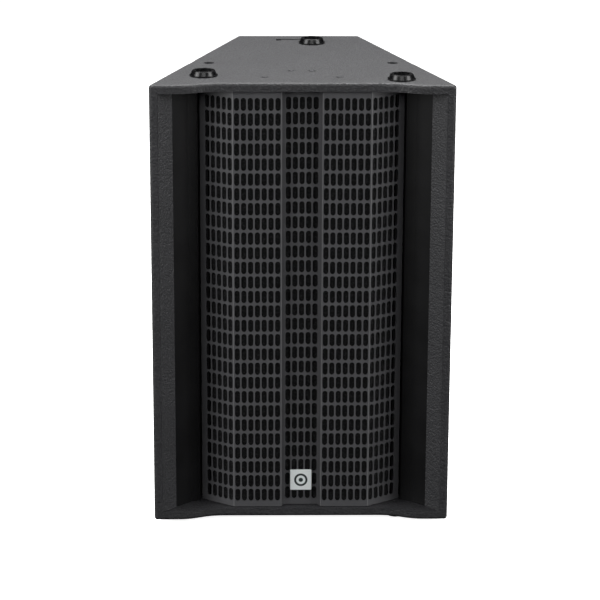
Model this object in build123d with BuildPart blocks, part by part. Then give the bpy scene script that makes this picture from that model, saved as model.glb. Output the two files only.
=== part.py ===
"""Compact line array loudspeaker: trapezoid plywood cabinet, two woofers, one horn.

Millimetres, +Z up, the front faces -Y.  The origin is on the surface that the
rubber feet stand on, at the middle of the cabinet's plan.  Left is -X.
"""
from build123d import *
import math
import os

os.makedirs("parts", exist_ok=True)

# ---- cabinet ---------------------------------------------------------------
cabinet_width = 454.0      # across the front
cabinet_height = 680.0     # over the top and bottom panels
cabinet_depth = 406.0
back_width = 196.0         # across the back
wall = 13.0                # 12 mm birch ply with its coat of structure paint
edge_round = 5.0           # rounded outer edges
rim_round = 4.5            # round along the outer faces of the end panels
inner_round = 2.0          # eased inner edges
small_edge = 1.0           # chamfered or eased edge of a small turned piece
front_setback = 16.0       # how far the middle of the front edge stands back
setback_flat = 35.0        # straight part of that edge beside each corner
setback_run = 75.0         # length of the S-curve

# ---- flared front ----------------------------------------------------------
batten_step = 3.0          # front batten stands this far behind the wall's end
batten_width = 21.2
batten_depth = 24.5        # depth where the batten meets the wing
batten_thickness = 15.5
wing_width = 36.6
wing_knee = 22.6           # width of the wing's steeper facet
wing_knee_depth = 44.5
wing_end_depth = 52.5
baffle_depth = 74.0        # front face of the woofer baffle
baffle_thickness = 18.0

# ---- grille ----------------------------------------------------------------
grille_gap = 3.0           # between the grille's edge and the wing
grille_end_gap = 1.0       # between the grille and the top and bottom panels
sheet = 1.5
flat_depth = 22.5          # front of the two flat fields
strip_half = 25.3          # half width of the recessed centre strip
strip_recess = 10.0
strip_step = 5.0
outer_field = 49.5         # width, seen from the front, of each angled field
outer_angle = 34.5
hole_width = 7.7
hole_length = 19.5
hole_pitch_x = 10.2
hole_pitch_z = 22.73
hole_margin = 1.0
edge_flange = 8.0
end_flange = 5.0
foam_thickness = 5.0
foam_gap = 5.0             # between the foam's edge and the rail
rail_width = 12.0
badge_size = 33.0
badge_thickness = 2.0
badge_height = 54.4        # centre, above the cabinet's underside
badge_corner = 1.5
badge_edge = 0.4

# ---- woofers ---------------------------------------------------------------
woofer_diameter = 256.0
woofer_gap = 2.0
rim_thickness = 6.0
basket_depth = 82.0
basket_wall = 3.0
basket_ledge = 2.0         # basket's floor beyond the magnet
basket_windows = 6
window_wide = 56.0         # of each basket window, between its spokes
window_deep = 49.0
cutout_gap = 1.0
rim_width = 12.0           # part of the rim that lies on the baffle
lip_inset = 10.5
lip_width = 4.5
roll_radius = 7.0
roll_sheet = 1.2
cone_gap = 0.4             # between the cone's edge and the surround
cone_depth = 44.0
cone_thickness = 1.3
cap_radius = 42.0
cap_rise = 13.0
cap_seat = 1.0             # how far the cap's edge is let into the cone
coil_radius = 32.0
coil_sheet = 0.6
coil_gap = 0.7
coil_reach = 16.0          # length of coil inside the magnet
cone_travel = 4.0
magnet_radius = 60.0
magnet_height = 34.0
woofer_screws = 8
rim_screw_inset = 5.5

# ---- horn and compression driver -------------------------------------------
horn_width = 250.0
horn_height = 116.0
horn_flange = 9.0
horn_flange_thickness = 6.0
horn_length = 118.0
horn_wall = 4.0
horn_play = 1.0
horn_corner = 12.0
throat_radius = 18.0
driver_radius = 58.0
driver_height = 62.0
driver_plate = 8.0
driver_foot = 46.0         # radius of the horn's driver plate
dome_radius = 35.0
dome_rise = 9.0
dome_sheet = 0.6
dome_play = 2.0
diaphragm_travel = 0.3

# ---- braces ----------------------------------------------------------------
brace_thickness = 12.0
brace_gap = 3.0            # between the horn's flange and a brace
brace_hole = 54.0
brace_holes = [(0.0, 130.0), (0.0, 205.0), (-62.0, 165.0), (62.0, 165.0), (0.0, 280.0)]
tube_fit = 0.05

# ---- side rigging ----------------------------------------------------------
rigging_depth = 172.7      # behind the front
rigging_half = 140.2       # beside the middle
rod_hole = 16.4            # in the end panels, which guide the rod
rod_fit = 0.08
tube_play = 0.3            # the tube is this much wider than the hole, all round
tube_wall = 2.5
rod_length = 150.0
rod_sunk = 20.0
rod_hole_down = 15.5       # cross hole, below the rod's top
plunger_drop = 53.0        # below the top surface
plunger_radius = 4.0
plunger_fit = 0.08
plunger_gap = 1.48         # tip to the floor of the rod's slot
slot_depth = 5.0
slot_play = 0.3
groove_width = 36.0
groove_depth = 4.0
groove_length = 128.0
plate_play = 0.5
plate_length = 100.0
plate_gap = 1.0            # between the plate and the end panel
plate_thickness = 3.0
plate_screw_half = 38.0
plate_screw_aside = 8.0
knob_window = 11.0
pocket_radius = 13.0
pocket_depth = 10.5
knob_radius = 9.5
knob_height = 6.0
knob_sunk = 3.0
cross_hole = 5.2
cross_rise = 30.0          # cross holes, above the underside

# ---- rear rigging ----------------------------------------------------------
link_depth = 371.5
link_half = 35.0
link_thickness = 5.0
link_leg = 6.5
link_length = 150.0
link_sunk = 8.0
link_hole_down = 15.0
link_play = 1.25
guide_sheet = 3.0
guide_play = 1.5
guide_length = 190.0
receiver_length = 70.0
guide_foot = 12.0

# ---- feet ------------------------------------------------------------------
foot_height = 8.5
foot_base = 21.0
foot_top = 17.4
foot_flange = 2.0          # thickness of a cup's wide base
foot_step = 1.5
foot_edge = 0.8
cup_bore = 12.0
cup_deep = 5.0
foot_nose = 11.8
foot_shoulder = 4.0
foot_screw_seat = 1.1      # rubber left under a screw's head
foot_spots = [(-146.4, 73.0), (147.0, 46.0), (20.3, 340.0)]
foot_names = ["front_left", "front_right", "rear"]

# ---- threaded inserts ------------------------------------------------------
insert_bore = 4.0
insert_radius = 6.0
insert_wide = (56.0, 61.0)     # half spacing and depth of the wide pair
insert_narrow = (15.3, 110.0)

# ---- handles ---------------------------------------------------------------
handle_depth = 290.0
handle_long = 140.0
handle_tall = 92.0
handle_deep = 50.0
handle_skin = 3.0
handle_flange = 9.0
handle_lip = 2.0
handle_corner = 14.0
grip_radius = 8.0
grip_below = 12.0          # gap between the grip and the top of the cup
grip_sunk = 12.0           # grip's axis, behind the outer face

# ---- connector dish --------------------------------------------------------
dish_wide = 112.0
dish_tall = 62.0
dish_deep = 30.0
dish_skin = 2.5
dish_flange = 9.0
dish_lip = 2.0
dish_sunk = 2.4            # flange below the panel's face, which leaves the screws flush
dish_corner = 10.0
dish_rise = 20.0           # middle of the dish, above the cabinet's middle
socket_radius = 12.0
socket_play = 0.3
socket_spacing = 50.0
socket_tail = 14.0
socket_wide = 26.0
socket_tall = 31.0
socket_plate = 3.0
socket_post = 7.4
socket_rim = 2.0           # wall around the plug's ring
socket_corner = 3.0

# ---- crossover -------------------------------------------------------------
board_wide = 120.0
board_tall = 150.0
board_thickness = 1.6
board_standoff = 8.0
board_height = 170.0
standoff_radius = 4.0
choke_radius = 22.0
choke_height = 18.0
choke_bore = 8.0
capacitor_radius = 9.0
capacitor_length = 38.0
choke_spots = [(-32, 44), (32, 44), (-32, -6)]     # from the board's middle
capacitor_spots = [(20, -6), (44, -6), (-32, -48), (-8, -48), (16, -48), (40, -48)]

# ---- damping foam ----------------------------------------------------------
damping_thickness = 20.0
damping_front = 200.0
damping_back = 375.0
damping_end_gap = 10.0

# ---- fasteners -------------------------------------------------------------
screw_radius = 2.5
screw_head = 4.5
screw_head_height = 2.4
screw_length = 12.0
screw_recess = 1.6         # radius of the driver's recess
screw_recess_depth = 3.0

# ---- worked out from the above ---------------------------------------------
front_y = -cabinet_depth / 2
back_y = cabinet_depth / 2
base_z = foot_height
top_z = base_z + cabinet_height
middle_z = base_z + cabinet_height / 2
slope = (cabinet_width - back_width) / 2 / cabinet_depth
side_angle = math.atan(slope)
wall_x = wall / math.cos(side_angle)
inner_height = cabinet_height - 2 * wall
grille_half = cabinet_width / 2 - wall_x - batten_width - wing_width - grille_gap
strip_depth = flat_depth + strip_recess
fold_half = grille_half - outer_field
horn_half = horn_height / 2 + horn_flange
woofer_offset = horn_half + woofer_gap + woofer_diameter / 2
woofer_heights = {"upper": middle_z + woofer_offset, "lower": middle_z - woofer_offset}
stack_gap = foot_height + foot_shoulder
rod_travel = rod_sunk + rod_hole_down + cross_rise + stack_gap
link_travel = link_sunk + link_hole_down + cross_rise + stack_gap
rod_radius = rod_hole / 2 - rod_fit
tube_bore = rod_hole / 2 + tube_play
plunger_reach = rod_radius - slot_depth + plunger_gap
plunger_bore = plunger_radius + plunger_fit
slot_half = plunger_radius + slot_play


def outer_half(depth):
    """Half width of the cabinet at a depth behind its front."""
    return cabinet_width / 2 - slope * depth


def inner_half(depth):
    """Half width between the side walls' inner faces."""
    return outer_half(depth) - wall_x


def facing_front(depth, height, x=0.0):
    """Plane that faces the front: its x is X and its y is Z."""
    return Plane(origin=(x, front_y + depth, height), x_dir=(1, 0, 0), z_dir=(0, -1, 0))


def facing_back(depth, height, x=0.0):
    """Plane that faces the back: its x is -X and its y is Z."""
    return Plane(origin=(x, front_y + depth, height), x_dir=(-1, 0, 0), z_dir=(0, 1, 0))


def on_wall(side, depth, height, sunk=0.0):
    """Plane on a side wall's outer face, side -1 or 1: its x points up, its z outward."""
    outward = Vector(side * math.cos(side_angle), math.sin(side_angle), 0)
    foot = Vector(side * outer_half(depth), front_y + depth, height)
    return Plane(origin=foot - outward * sunk, x_dir=(0, 0, 1), z_dir=outward)


def wall_depth_of(x, depth):
    """Distance from a point inside to the left wall's outer face, and that face's depth."""
    gap = (outer_half(depth) - abs(x)) * math.cos(side_angle)
    return gap, depth + gap * math.sin(side_angle)


def write(piece, name):
    """Labels a finished piece and writes its STEP file."""
    piece.part.label = name
    export_step(piece.part, f"parts/{name}.step")


def write_pair(left, name):
    """Writes a left-hand piece and its mirror image."""
    write(left, f"{name}_left")
    with BuildPart() as right:
        mirror(left.part, about=Plane.YZ)
    write(right, f"{name}_right")


def quadrilateral(half_front, half_back, depth_front, depth_back):
    """Trapezoid in plan, symmetric about the middle."""
    Polygon(
        (-half_front, front_y + depth_front),
        (half_front, front_y + depth_front),
        (half_back, front_y + depth_back),
        (-half_back, front_y + depth_back),
        align=None,
    )


def panel_outline():
    """Plan of the top and bottom panels, with the front edge curved back in the middle."""
    corner = cabinet_width / 2
    start = corner - setback_flat
    end = start - setback_run
    bend = setback_run / 2
    inset_y = front_y + front_setback
    with BuildSketch() as plan:
        with BuildLine():
            Line((-corner, front_y), (-start, front_y))
            Bezier((-start, front_y), (bend - start, front_y), (-end - bend, inset_y), (-end, inset_y))
            Line((-end, inset_y), (end, inset_y))
            Bezier((end, inset_y), (end + bend, inset_y), (start - bend, front_y), (start, front_y))
            Line((start, front_y), (corner, front_y))
            Line((corner, front_y), (back_width / 2, back_y))
            Line((back_width / 2, back_y), (-back_width / 2, back_y))
            Line((-back_width / 2, back_y), (-corner, front_y))
        make_face()
    return plan.sketch


def link_outline(play):
    """Plan of the rear link, a flat bar with a short leg at each end, grown by a play."""
    half = link_half + play
    front = front_y + link_depth - link_thickness / 2 - link_leg - play
    web_front = front_y + link_depth - link_thickness / 2 - play
    back = front_y + link_depth + link_thickness / 2 + play
    leg = link_half - link_thickness - play
    Polygon(
        (-half, back), (-half, front), (-leg, front), (-leg, web_front),
        (leg, web_front), (leg, front), (half, front), (half, back),
        align=None,
    )


def rod_centres():
    return [(-rigging_half, front_y + rigging_depth), (rigging_half, front_y + rigging_depth)]


def insert_centres():
    spots = []
    for half, depth in (insert_wide, insert_narrow):
        spots += [(-half, front_y + depth), (half, front_y + depth)]
    return spots


def foot_centres():
    return [(x, front_y + depth) for x, depth in foot_spots]


rod_to_face, rod_face_depth = wall_depth_of(rigging_half, rigging_depth)
groove_at = rod_face_depth
inner_low = base_z + wall
inner_top = top_z - wall
plunger_z = top_z - plunger_drop
cross_z = base_z + cross_rise
back_panel_depth = cabinet_depth - wall
plate_z = {
    "upper": inner_top - plate_gap - plate_length / 2,
    "lower": inner_low + plate_gap + plate_length / 2,
}


# ---- screws ----------------------------------------------------------------
# Every wood screw is the same size.  A spot is the plane under the screw's head.
def rim_screw_spots(height):
    half_step = 180 / woofer_screws
    with PolarLocations(woofer_diameter / 2 - rim_screw_inset, woofer_screws, start_angle=half_step) as ring:
        face = facing_front(baffle_depth - rim_thickness, height)
        return [face * spot for spot in ring.local_locations]


def frame_screw_spots(face, wide, tall, columns, rows):
    with GridLocations(wide, tall, columns, rows) as grid:
        return [face * spot for spot in grid.local_locations]


woofer_screw_spots = []
for woofer_z in woofer_heights.values():
    woofer_screw_spots += rim_screw_spots(woofer_z)
horn_screw_spots = frame_screw_spots(
    facing_front(baffle_depth - horn_flange_thickness, middle_z),
    horn_width + 2 * horn_play, horn_height + horn_flange, 2, 2)
handle_screw_spots = frame_screw_spots(
    on_wall(-1, handle_depth, middle_z, -handle_lip),
    handle_tall + handle_flange, handle_long - 2 * handle_corner, 2, 2)
dish_screw_spots = frame_screw_spots(
    facing_back(cabinet_depth - dish_sunk, middle_z + dish_rise),
    dish_wide - 2 * dish_corner, dish_tall + dish_flange, 2, 2)
plate_screw_spots = []
for centre_z in plate_z.values():
    plate_face = on_wall(-1, groove_at, centre_z, groove_depth - plate_thickness)
    for up in (-plate_screw_half, plate_screw_half):
        plate_screw_spots.append(plate_face * Pos(up, plate_screw_aside, 0))


def screw_holes(spots):
    """Cuts a clearance-free pilot for each screw out of the piece being built."""
    with Locations(*spots):
        Cylinder(screw_radius, screw_length + wall,
                 align=(Align.CENTER, Align.CENTER, Align.MAX), mode=Mode.SUBTRACT)


# ---- top and bottom panels -------------------------------------------------
# Full plan of the cabinet; their outer edges are rounded over, and both carry
# the rod holes, the rear link slot, the insert holes and the feet.
outline = panel_outline()


def end_panel(lower_face, outer_face):
    with BuildPart() as panel:
        with BuildSketch(Plane.XY.offset(lower_face)):
            add(outline)
        extrude(amount=wall)
        upright = panel.edges().filter_by(Axis.Z)
        fillet(upright.group_by(Axis.X)[0] + upright.group_by(Axis.X)[-1], edge_round)
        fillet(panel.edges().filter_by(Axis.Z).group_by(Axis.Y)[-1], edge_round)
        rim = panel.faces().filter_by(Axis.Z).sort_by(Axis.Z)
        outer_rim = rim[-1] if outer_face > lower_face else rim[0]
        fillet(outer_rim.edges(), rim_round)
        with BuildSketch(Plane.XY.offset(lower_face)):
            with Locations(*rod_centres()):
                Circle(rod_hole / 2)
            with Locations(*insert_centres()):
                Circle(insert_radius)
            with Locations(*foot_centres()):
                Circle(screw_radius)
            link_outline(link_play)
        extrude(amount=wall, mode=Mode.SUBTRACT)
        for side in (-1, 1):
            with BuildSketch(on_wall(side, groove_at, lower_face, groove_depth)):
                Rectangle(3 * wall, groove_width)
            extrude(amount=groove_depth + edge_round, mode=Mode.SUBTRACT)
    return panel


top_panel = end_panel(top_z - wall, top_z)
write(top_panel, "top_panel")
bottom_panel = end_panel(base_z, base_z)
write(bottom_panel, "bottom_panel")

# ---- side panels -----------------------------------------------------------
# Slanted walls between the end panels, routed for the latch plates, the lock
# plunger, the cross hole of the cabinet below and the carrying handle.
def wall_strip(front, back, thickness):
    """Plan of a slanted strip on the left whose outer face is the cabinet's side."""
    return [
        (-outer_half(front), front_y + front),
        (-outer_half(back), front_y + back),
        (-outer_half(back) + thickness, front_y + back),
        (-outer_half(front) + thickness, front_y + front),
    ]


with BuildPart() as side_panel:
    with BuildSketch(Plane.XY.offset(inner_low)):
        Polygon(*wall_strip(0, cabinet_depth, wall_x), align=None)
    extrude(amount=inner_height)
    upright = side_panel.edges().filter_by(Axis.Z)
    fillet(upright.sort_by(Axis.X)[0], edge_round)
    fillet(side_panel.edges().filter_by(Axis.Z).sort_by(Axis.Y)[-2:].sort_by(Axis.X)[0], edge_round)
    for groove_z in (inner_top, inner_low):
        with BuildSketch(on_wall(-1, groove_at, groove_z, groove_depth)):
            Rectangle(2 * (groove_length - wall), groove_width)
        extrude(amount=groove_depth, mode=Mode.SUBTRACT)
    with BuildSketch(on_wall(-1, rod_face_depth, plunger_z, pocket_depth)):
        Circle(pocket_radius)
    extrude(amount=pocket_depth, mode=Mode.SUBTRACT)
    with BuildSketch(on_wall(-1, rod_face_depth, plunger_z, wall)):
        Circle(plunger_bore)
    extrude(amount=wall, mode=Mode.SUBTRACT)
    with BuildSketch(on_wall(-1, rod_face_depth, cross_z, wall)):
        Circle(cross_hole)
    extrude(amount=wall, mode=Mode.SUBTRACT)
    with BuildSketch(on_wall(-1, handle_depth, middle_z, wall)):
        RectangleRounded(handle_tall, handle_long, handle_corner)
    extrude(amount=wall, mode=Mode.SUBTRACT)
    screw_holes(handle_screw_spots)
    screw_holes(plate_screw_spots)
write_pair(side_panel, "side_panel")


# ---- back panel ------------------------------------------------------------
# Stands between the side walls; holds the connector dish and the rear plunger.
with BuildPart() as back_panel:
    with BuildSketch(Plane.XY.offset(inner_low)):
        quadrilateral(inner_half(back_panel_depth), inner_half(cabinet_depth),
                      back_panel_depth, cabinet_depth)
    extrude(amount=inner_height)
    with BuildSketch(facing_back(cabinet_depth, middle_z + dish_rise)):
        RectangleRounded(dish_wide, dish_tall, dish_corner)
    extrude(amount=-wall, mode=Mode.SUBTRACT)
    with BuildSketch(facing_back(cabinet_depth, middle_z + dish_rise)):
        RectangleRounded(dish_wide + 2 * dish_flange, dish_tall + 2 * dish_flange, dish_corner)
    extrude(amount=-dish_lip - dish_sunk, mode=Mode.SUBTRACT)
    screw_holes(dish_screw_spots)
    with BuildSketch(facing_back(cabinet_depth, plunger_z)):
        Circle(pocket_radius)
    extrude(amount=-pocket_depth, mode=Mode.SUBTRACT)
    with BuildSketch(facing_back(cabinet_depth, plunger_z)):
        Circle(plunger_bore)
    extrude(amount=-wall, mode=Mode.SUBTRACT)
    with BuildSketch(facing_back(cabinet_depth, cross_z)):
        Circle(cross_hole)
    extrude(amount=-wall, mode=Mode.SUBTRACT)
write(back_panel, "back_panel")


# ---- front battens, wings, grille rails ------------------------------------
# The flare at each side of the front: a painted batten beside the wall, then a
# shaped wing down to the baffle, and a rail under the grille's edge flange.
batten_x = cabinet_width / 2 - wall_x - batten_width
batten_back = batten_depth + batten_thickness
wing_x = batten_x - wing_width
knee_x = batten_x - wing_knee


def plan_piece(points):
    """Upright prism between the end panels on a plan given as (half width, depth)."""
    with BuildPart() as piece:
        with BuildSketch(Plane.XY.offset(inner_low)):
            Polygon(*[(-half, front_y + depth) for half, depth in points], align=None)
        extrude(amount=inner_height)
    return piece


front_batten = plan_piece([
    (inner_half(batten_step), batten_step),
    (batten_x, batten_depth),
    (batten_x, batten_back),
    (inner_half(batten_back), batten_back),
])
write_pair(front_batten, "front_batten")

wing = plan_piece([
    (batten_x, batten_depth),
    (knee_x, wing_knee_depth),
    (wing_x, wing_end_depth),
    (wing_x, baffle_depth),
    (inner_half(baffle_depth), baffle_depth),
    (inner_half(batten_back), batten_back),
    (batten_x, batten_back),
])
write_pair(wing, "wing")

rise = math.tan(math.radians(outer_angle))
sheet_back = sheet / math.cos(math.radians(outer_angle))
rail_outer = grille_half
rail_inner = grille_half - rail_width
rail = plan_piece([
    (rail_outer, flat_depth + (rail_outer - fold_half) * rise + sheet_back),
    (rail_inner, flat_depth + (rail_inner - fold_half) * rise + sheet_back),
    (rail_inner, baffle_depth),
    (rail_outer, baffle_depth),
])
write_pair(rail, "grille_rail")


# ---- woofer baffle ---------------------------------------------------------
# Carries both woofers and the horn, and closes the air behind them.
baffle_back = baffle_depth + baffle_thickness
cutout_radius = woofer_diameter / 2 - rim_width
with BuildPart() as baffle:
    with BuildSketch(Plane.XY.offset(inner_low)):
        quadrilateral(inner_half(baffle_depth), inner_half(baffle_back), baffle_depth, baffle_back)
    extrude(amount=inner_height)
    for height in woofer_heights.values():
        with BuildSketch(facing_front(baffle_depth, height)):
            Circle(cutout_radius)
        extrude(amount=-baffle_thickness, mode=Mode.SUBTRACT)
    with BuildSketch(facing_front(baffle_depth, middle_z)):
        RectangleRounded(horn_width, horn_height, horn_corner)
    extrude(amount=-baffle_thickness, mode=Mode.SUBTRACT)
    screw_holes(woofer_screw_spots)
    screw_holes(horn_screw_spots)
write(baffle, "woofer_baffle")


# ---- braces ----------------------------------------------------------------
# Two shelves between baffle and back, holed for air, that stiffen the walls and
# hold the rigging tubes.
tube_radius = tube_bore + tube_wall
brace_offset = horn_half + brace_gap


def brace(lower_face):
    with BuildPart() as shelf:
        with BuildSketch(Plane.XY.offset(lower_face)):
            quadrilateral(inner_half(baffle_back), inner_half(back_panel_depth),
                          baffle_back, back_panel_depth)
            with Locations(*rod_centres()):
                Circle(tube_radius + tube_fit, mode=Mode.SUBTRACT)
            with Locations(*[(x, front_y + depth) for x, depth in brace_holes]):
                Circle(brace_hole / 2, mode=Mode.SUBTRACT)
        extrude(amount=brace_thickness)
    return shelf


write(brace(middle_z + brace_offset), "upper_brace")
write(brace(middle_z - brace_offset - brace_thickness), "lower_brace")


# ---- grille ----------------------------------------------------------------
# One steel sheet with six folds: a recessed centre strip, two flat fields and
# two angled fields, punched with upright oblong holes.
grille_low = inner_low + grille_end_gap
grille_height = inner_height - 2 * grille_end_gap


def fold_points(half):
    """Front of the sheet from the left edge to the right, as (x, depth)."""
    edge_depth = flat_depth + (half - fold_half) * rise
    right = [
        (strip_half, strip_depth),
        (strip_half + strip_step, flat_depth),
        (fold_half, flat_depth),
        (half, edge_depth),
    ]
    return [(-x, depth) for x, depth in reversed(right)] + right


def behind(points, distance):
    """The same line moved back by a distance square to each run."""
    normals = []
    for (x0, y0), (x1, y1) in zip(points, points[1:]):
        length = math.hypot(x1 - x0, y1 - y0)
        normals.append(((y0 - y1) / length, (x1 - x0) / length))
    moved = []
    for index, (x, y) in enumerate(points):
        before = normals[max(index - 1, 0)]
        after = normals[min(index, len(normals) - 1)]
        scale = distance / (1 + before[0] * after[0] + before[1] * after[1])
        moved.append((x + (before[0] + after[0]) * scale, y + (before[1] + after[1]) * scale))
    return moved


def sheet_ring(points, offset, thickness):
    """Plan of a folded sheet of a thickness, moved back from the fold line by an offset."""
    front = behind(points, offset)
    back = behind(points, offset + thickness)
    return [(x, front_y + depth) for x, depth in front + back[::-1]]


front_line = fold_points(grille_half)
hole_rows = int((grille_height - 2 * end_flange - hole_length) / hole_pitch_z) + 1
with BuildPart() as grille:
    with BuildSketch(Plane.XY.offset(grille_low)):
        Polygon(*sheet_ring(front_line, 0, sheet), align=None)
    extrude(amount=grille_height)
    for first, last in zip(front_line, front_line[1:]):
        run = math.hypot(last[0] - first[0], last[1] - first[1])
        if run < 2 * hole_pitch_x:
            continue
        flange = edge_flange if abs(last[1] - first[1]) > sheet else 0.0
        columns = int((run - flange - hole_width - 2 * hole_margin) / hole_pitch_x) + 1
        along = Vector(last[0] - first[0], last[1] - first[1], 0).normalized()
        shift = flange / 2 if first[0] < 0 else -flange / 2
        centre = Vector((first[0] + last[0]) / 2, front_y + (first[1] + last[1]) / 2, middle_z)
        field = Plane(centre + along * shift, x_dir=along, z_dir=along.cross(Vector(0, 0, 1)))
        with BuildSketch(field):
            with GridLocations(hole_pitch_x, hole_pitch_z, columns, hole_rows):
                SlotOverall(hole_length, hole_width, rotation=90)
        extrude(amount=-2 * sheet, mode=Mode.SUBTRACT)
write(grille, "grille")

foam_half = rail_inner - foam_gap
with BuildPart() as grille_foam:
    with BuildSketch(Plane.XY.offset(grille_low)):
        Polygon(*sheet_ring(fold_points(foam_half), sheet, foam_thickness), align=None)
    extrude(amount=grille_height)
write(grille_foam, "grille_foam")

with BuildPart() as badge:
    with BuildSketch(facing_front(strip_depth, base_z + badge_height)):
        RectangleRounded(badge_size, badge_size, badge_corner)
    extrude(amount=badge_thickness)
    fillet(badge.faces().sort_by(Axis.Y)[0].edges(), badge_edge)
write(badge, "badge_plate")


# ---- woofers ---------------------------------------------------------------
# Cast frame, rubber surround, paper cone with its coil, dust cap and magnet,
# each turned about the speaker's axis with z = 0 on the baffle's face.
roll_centre = woofer_diameter / 2 - lip_inset - lip_width - roll_radius
cone_edge = roll_centre - roll_radius - cone_gap
basket_front = cutout_radius - cutout_gap
cone_back = rim_thickness - cone_depth
cone_rise = cone_depth / (cone_edge - coil_radius)
basket_foot = magnet_radius + basket_ledge
coil_hole = coil_radius + 3 * coil_gap


def cone_face(radius):
    """Height of the cone's front face at a radius."""
    return cone_back + (radius - coil_radius) * cone_rise


def dome(edge_radius, rise, thickness):
    """Spherical cap standing on z = 0."""
    ball = (edge_radius ** 2 + rise ** 2) / (2 * rise)
    with BuildPart() as shell:
        with Locations((0, 0, rise - ball)):
            Sphere(ball)
            Sphere(ball - thickness, mode=Mode.SUBTRACT)
        split(bisect_by=Plane.XY, keep=Keep.TOP)
    return shell


with BuildPart() as woofer_frame:
    with BuildSketch(Plane.XZ):
        Polygon(
            (woofer_diameter / 2, rim_thickness),
            (woofer_diameter / 2, 0),
            (basket_front, 0),
            (basket_foot, -basket_depth),
            (coil_hole, -basket_depth),
            (coil_hole, basket_wall - basket_depth),
            (basket_foot - basket_wall, basket_wall - basket_depth),
            (basket_front - basket_wall, 0),
            (basket_front - basket_wall, rim_thickness),
            align=None,
        )
    revolve(axis=Axis.Z)
    with PolarLocations((basket_front + basket_foot) / 2, basket_windows):
        with Locations((0, 0, -basket_depth / 2)):
            Box(basket_depth, window_wide, window_deep, mode=Mode.SUBTRACT)

with BuildPart() as woofer_surround:
    with BuildSketch(Plane.XZ):
        with Locations((roll_centre, rim_thickness)):
            Circle(roll_radius)
            Circle(roll_radius - roll_sheet, mode=Mode.SUBTRACT)
            Rectangle(3 * roll_radius, 2 * roll_radius, align=(Align.CENTER, Align.MAX), mode=Mode.SUBTRACT)
        with Locations((roll_centre + roll_radius - roll_sheet, rim_thickness)):
            Rectangle(lip_width + roll_sheet, roll_sheet, align=(Align.MIN, Align.MIN))
    revolve(axis=Axis.Z)

with BuildPart() as woofer_cone:
    with BuildSketch(Plane.XZ):
        Polygon(
            (cone_edge, rim_thickness),
            (cone_edge, rim_thickness - cone_thickness),
            (coil_radius, cone_back - cone_thickness),
            (coil_radius, -basket_depth - coil_reach),
            (coil_radius - coil_sheet, -basket_depth - coil_reach),
            (coil_radius - coil_sheet, cone_back),
            (coil_radius, cone_back),
            align=None,
        )
    revolve(axis=Axis.Z)

with BuildPart() as woofer_cap:
    with Locations((0, 0, cone_face(cap_radius) - cap_seat)):
        add(dome(cap_radius, cap_rise, cone_thickness).part)
    add(woofer_cone.part, mode=Mode.SUBTRACT)

with BuildPart() as woofer_magnet:
    with BuildSketch(Plane.XY.offset(-basket_depth)):
        Circle(magnet_radius)
    extrude(amount=-magnet_height)
    with BuildSketch(Plane.XY.offset(-basket_depth)):
        Circle(coil_radius + coil_gap)
        Circle(coil_radius - coil_sheet - coil_gap, mode=Mode.SUBTRACT)
    extrude(amount=-(coil_reach + cone_travel + 2 * coil_gap), mode=Mode.SUBTRACT)

woofer_pieces = {
    "frame": woofer_frame,
    "surround": woofer_surround,
    "cone": woofer_cone,
    "dust_cap": woofer_cap,
    "magnet": woofer_magnet,
}
for place, woofer_z in woofer_heights.items():
    for kind, shape in woofer_pieces.items():
        with BuildPart() as piece:
            with Locations(facing_front(baffle_depth, woofer_z)):
                add(shape.part)
            if kind == "frame":
                screw_holes(rim_screw_spots(woofer_z))
        write(piece, f"woofer_{kind}_{place}")


# ---- horn and compression driver -------------------------------------------
# Moulded waveguide between the woofers, with the driver bolted to its throat.
horn_front = baffle_depth - horn_flange_thickness
throat_depth = horn_front + horn_length
shell_wide = horn_width - 2 * horn_play
shell_tall = horn_height - 2 * horn_play
with BuildPart() as horn:
    with BuildSketch(facing_front(baffle_depth, middle_z)):
        RectangleRounded(horn_width + 2 * horn_flange, horn_height + 2 * horn_flange, horn_corner)
    extrude(amount=horn_flange_thickness)
    with BuildSketch(facing_front(baffle_depth, middle_z)):
        RectangleRounded(shell_wide, shell_tall, horn_corner)
    with BuildSketch(facing_front(throat_depth, middle_z)):
        Circle(throat_radius + horn_wall)
    loft()
    with BuildSketch(facing_front(throat_depth, middle_z)):
        Circle(driver_foot)
    extrude(amount=driver_plate)
    with BuildSketch(facing_front(horn_front, middle_z)):
        RectangleRounded(shell_wide - 2 * horn_wall, shell_tall - 2 * horn_wall, horn_corner)
    with BuildSketch(facing_front(throat_depth, middle_z)):
        Circle(throat_radius)
    loft(mode=Mode.SUBTRACT)
    screw_holes(horn_screw_spots)
write(horn, "horn")

cavity_radius = dome_radius + dome_play
with BuildPart() as driver:
    with BuildSketch(facing_back(throat_depth, middle_z)):
        Circle(driver_radius)
    extrude(amount=driver_height)
    fillet(driver.faces().sort_by(Axis.Y)[-1].edges(), edge_round)
    with BuildSketch(facing_back(throat_depth, middle_z)):
        Circle(throat_radius)
    extrude(amount=driver_plate, mode=Mode.SUBTRACT)
    with BuildSketch(facing_back(throat_depth + driver_plate, middle_z)):
        Circle(cavity_radius)
    extrude(amount=dome_rise + 2 * (dome_play + diaphragm_travel), mode=Mode.SUBTRACT)
write(driver, "driver_body")

dome_depth = throat_depth + driver_plate + dome_play + diaphragm_travel
with BuildPart() as diaphragm:
    with Locations(facing_back(dome_depth, middle_z)):
        add(dome(dome_radius, dome_rise, dome_sheet).part)
write(diaphragm, "driver_diaphragm")


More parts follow.
